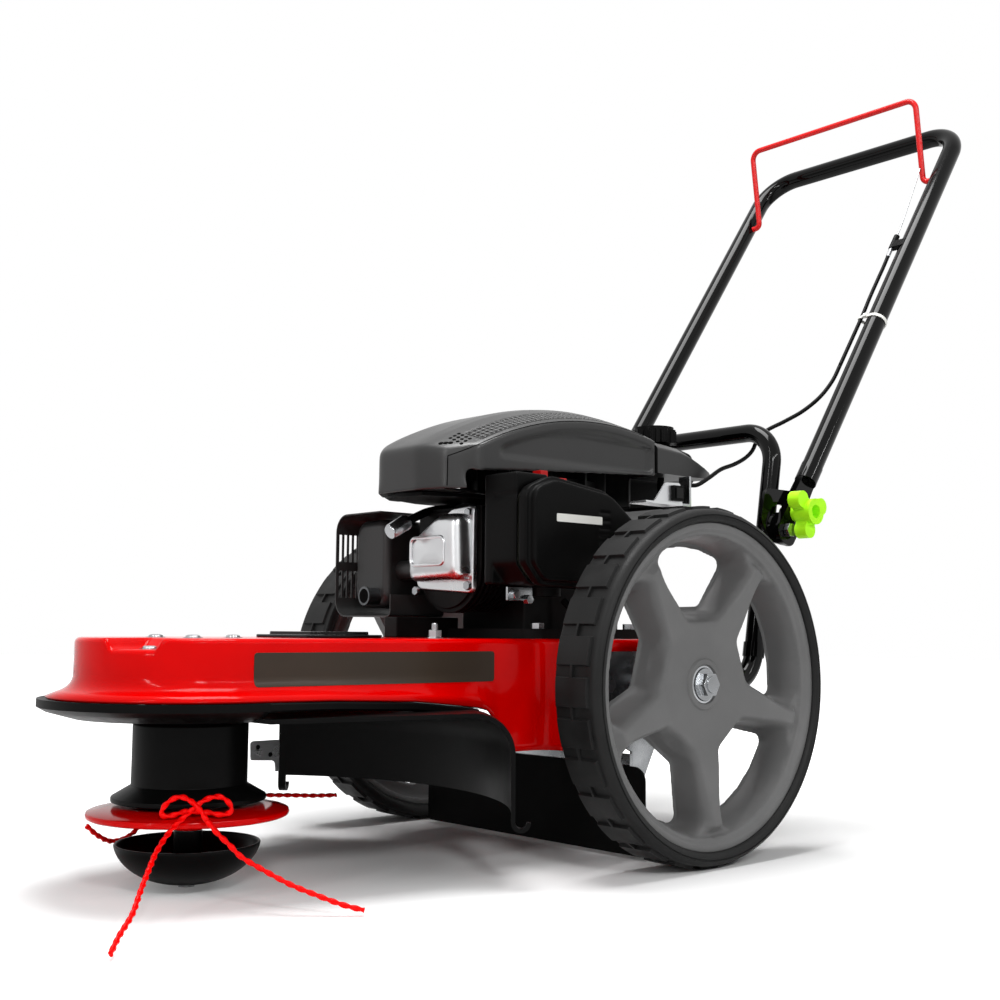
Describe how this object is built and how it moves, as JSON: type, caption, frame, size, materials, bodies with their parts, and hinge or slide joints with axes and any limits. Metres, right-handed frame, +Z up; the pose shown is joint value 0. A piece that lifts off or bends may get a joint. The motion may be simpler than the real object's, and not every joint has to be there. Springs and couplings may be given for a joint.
{
  "type": "walk_behind_string_mower",
  "caption": "Wheeled walk-behind string mower: red stamped deck, black debris shield, spinning line head, large spoked wheels, vertical engine, folding tube handle with bail.",
  "frame": {"origin": "On the ground, midway between the wheels under the axle line.", "axes": "+X forward to the trimmer head, +Y to the machine's left, +Z up."},
  "size_m": [1.2792, 0.502, 0.981],
  "materials": {
    "deck_paint": "gloss",
    "black_paint": "gloss",
    "black_plastic": "matte",
    "cover_plastic": "matte",
    "rim_plastic": "satin",
    "tyre_rubber": "matte",
    "flap_rubber": "matte",
    "zinc_steel": "satin",
    "engine_castings": "satin",
    "bright_castings": "polished",
    "pulley_steel": "satin",
    "red_paint": "gloss",
    "red_plastic": "gloss",
    "line_nylon": "satin",
    "knob_plastic": "gloss",
    "yellow_plastic": "matte",
    "filter_foam": "matte"
  },
  "bodies": {
    "chassis": {"deck": "deck_paint", "debris_shield": "black_plastic", "belt_cover": "black_paint", "rear_flap": "flap_rubber", "flap_bar": "zinc_steel", "axle_brackets": "zinc_steel", "stub_axles": "zinc_steel", "axle_nuts": "zinc_steel", "hoop_frame": "black_paint", "handle_brackets": "black_paint", "pivot_bolts": "zinc_steel", "spindle_housing": "black_paint", "spindle_bearings": "zinc_steel", "spindle_bolts": "zinc_steel", "drive_belt": "flap_rubber", "crankcase": "engine_castings", "cylinder_head": "engine_castings", "valve_cover": "bright_castings", "engine_bolts": "zinc_steel", "cover_base": "black_plastic", "engine_cover": "cover_plastic", "shoulder_grilles": "cover_plastic", "fuel_tank": "black_plastic", "filter_housing": "black_plastic", "filter_element": "filter_foam", "carburettor": "engine_castings", "muffler": "black_paint", "muffler_guard": "black_paint", "spark_plug": "zinc_steel", "control_bracket": "zinc_steel", "starter_rope": "black_plastic", "fuel_hose": "flap_rubber", "engine_cable": "black_plastic"},
    "left_wheel": {"left_tyre": "tyre_rubber", "left_rim": "rim_plastic"},
    "right_wheel": {"right_tyre": "tyre_rubber", "right_rim": "rim_plastic"},
    "trimmer_head": {"spindle": "zinc_steel", "driven_pulley": "pulley_steel", "line_disk": "red_paint", "ground_bowl": "black_plastic", "bowl_bolt": "zinc_steel", "front_line": "line_nylon", "rear_line": "line_nylon"},
    "crank": {"crankshaft": "zinc_steel", "drive_pulley": "pulley_steel", "flywheel": "engine_castings"},
    "handle": {"handlebar": "black_paint", "cable_clip": "black_plastic", "handle_cable": "black_plastic", "bail_wire": "zinc_steel"},
    "bail": {"bail": "red_paint"},
    "left_knob": {"left_knob": "knob_plastic"},
    "right_knob": {"right_knob": "knob_plastic"},
    "fuel_cap": {"fuel_cap": "black_plastic"},
    "filter_cover": {"filter_cover": "cover_plastic"},
    "choke_lever": {"choke_lever": "red_plastic"},
    "brake_lever": {"brake_lever": "zinc_steel"},
    "oil_cap": {"oil_cap": "yellow_plastic"},
    "starter_grip": {"starter_grip": "black_plastic"}
  },
  "joints": [
    {"name": "left_wheel_spin", "type": "hinge", "parent": "chassis", "child": "left_wheel", "pos_m": [0, 0.222, 0.178], "axis": [0, 1, 0], "continuous": true},
    {"name": "right_wheel_spin", "type": "hinge", "parent": "chassis", "child": "right_wheel", "pos_m": [0, -0.222, 0.178], "axis": [0, 1, 0], "continuous": true},
    {"name": "head_spin", "type": "hinge", "parent": "chassis", "child": "trimmer_head", "pos_m": [0.441, 0, 0.062], "axis": [0, 0, 1], "continuous": true},
    {"name": "crank_spin", "type": "hinge", "parent": "chassis", "child": "crank", "pos_m": [0.02, 0, 0.3], "axis": [0, 0, 1], "continuous": true},
    {"name": "handle_fold", "type": "hinge", "parent": "chassis", "child": "handle", "pos_m": [-0.225, 0, 0.348], "axis": [0, 1, 0], "range_deg": [0, 105], "deforming": ["engine_cable"]},
    {"name": "bail_squeeze", "type": "hinge", "parent": "handle", "child": "bail", "pos_m": [-0.59707, 0, 0.86011], "axis": [0, -1, 0], "range_deg": [0, 32], "stiffness_Nm_per_rad": 0.6, "springref_deg": -28.65, "deforming": ["bail_wire"]},
    {"name": "left_knob_turn", "type": "hinge", "parent": "handle", "child": "left_knob", "pos_m": [-0.24028, 0.182, 0.36903], "axis": [0, 1, 0], "continuous": true},
    {"name": "right_knob_turn", "type": "hinge", "parent": "handle", "child": "right_knob", "pos_m": [-0.24028, -0.182, 0.36903], "axis": [0, -1, 0], "continuous": true},
    {"name": "fuel_cap_turn", "type": "hinge", "parent": "chassis", "child": "fuel_cap", "pos_m": [-0.152, 0.03, 0.465], "axis": [0, 0, 1], "range_deg": [0, 120]},
    {"name": "filter_cover_open", "type": "hinge", "parent": "chassis", "child": "filter_cover", "pos_m": [0.094, 0.1375, 0.272], "axis": [-1, 0, 0], "range_deg": [0, 22]},
    {"name": "choke_turn", "type": "hinge", "parent": "chassis", "child": "choke_lever", "pos_m": [0.092, 0.116, 0.384], "axis": [0, 0, 1], "range_deg": [0, 40]},
    {"name": "brake_lever_turn", "type": "hinge", "parent": "chassis", "child": "brake_lever", "pos_m": [-0.096, 0.112, 0.378], "axis": [0, 0, 1], "range_deg": [0, 25]},
    {"name": "oil_cap_turn", "type": "hinge", "parent": "chassis", "child": "oil_cap", "pos_m": [-0.03, -0.086, 0.325], "axis": [0, 0, 1], "range_deg": [0, 270]},
    {"name": "starter_pull", "type": "slide", "parent": "chassis", "child": "starter_grip", "axis": [-0.5503, -0.6003, 0.5803], "range_m": [0, 0.35], "stiffness_N_per_m": 8, "springref_m": -0.05, "deforming": ["starter_rope"]}
  ],
  "couplings": [
    {"joint": "head_spin", "follows": "crank_spin", "ratio": 1},
    {"joint": "brake_lever_turn", "follows": "bail_squeeze", "ratio": 0.6}
  ]
}
